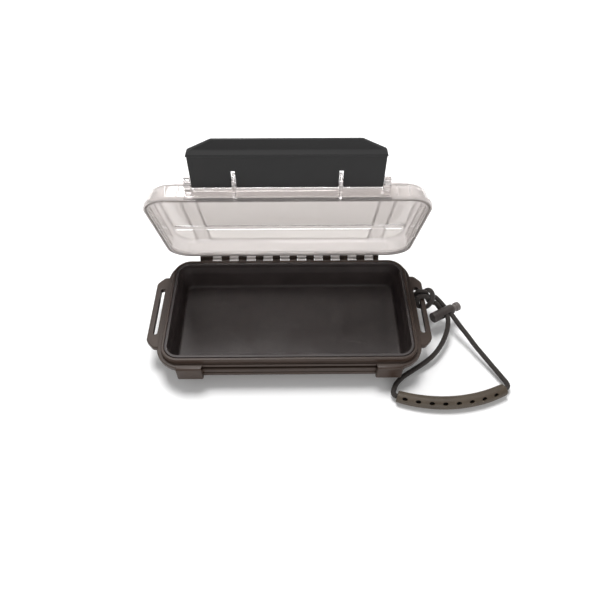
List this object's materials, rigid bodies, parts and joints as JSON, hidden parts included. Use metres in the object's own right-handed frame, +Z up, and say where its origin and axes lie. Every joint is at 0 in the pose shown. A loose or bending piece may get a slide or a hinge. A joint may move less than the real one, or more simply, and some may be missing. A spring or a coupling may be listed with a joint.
{
  "type": "dry box",
  "caption": "Waterproof dry box for a phone: soft-lined dark tub, clear lid on a long rear hinge, wide swing latch, end handles and a hitched lanyard.",
  "frame": {"origin": "centre of the tub's underside, on the surface that the box stands on", "axes": "+X along the tub to the lanyard end, +Y to the hinge side, +Z up"},
  "size_m": [0.2866, 0.1515, 0.1717],
  "materials": {
    "black_plastic": "satin",
    "liner_rubber": "matt",
    "bright_steel": "bright",
    "clear_plastic": "clear",
    "seal_rubber": "matt",
    "latch_plastic": "satin",
    "black_cord": "braided",
    "grip_rubber": "matt",
    "lock_plastic": "satin",
    "plunger_plastic": "satin"
  },
  "bodies": {
    "base": {"base_shell": "black_plastic", "base_liner": "liner_rubber", "hinge_pin": "bright_steel", "lanyard_cord": "black_cord", "lanyard_grip": "grip_rubber", "cord_lock_barrel": "lock_plastic", "cord_lock_spring": "bright_steel"},
    "lid": {"lid_shell": "clear_plastic", "lid_seal": "seal_rubber", "latch_pin": "bright_steel"},
    "latch": {"latch_panel": "latch_plastic"},
    "plunger": {"cord_lock_plunger": "plunger_plastic"}
  },
  "joints": [
    {"name": "lid_hinge", "type": "hinge", "parent": "base", "child": "lid", "pos_m": [0, 0.0589, 0.0245], "axis": [1, 0, 0], "range_deg": [-43, 66.95]},
    {"name": "latch_hinge", "type": "hinge", "parent": "lid", "child": "latch", "pos_m": [0, 0.02379, 0.13715], "axis": [1, 0, 0], "range_deg": [-120, 114.35]},
    {"name": "plunger_slide", "type": "slide", "parent": "base", "child": "plunger", "axis": [0.88, 0.475, 0], "range_m": [-0.0025, 0], "stiffness_N_per_m": 300, "springref_m": 0.002, "deforming": ["cord_lock_spring"]}
  ]
}
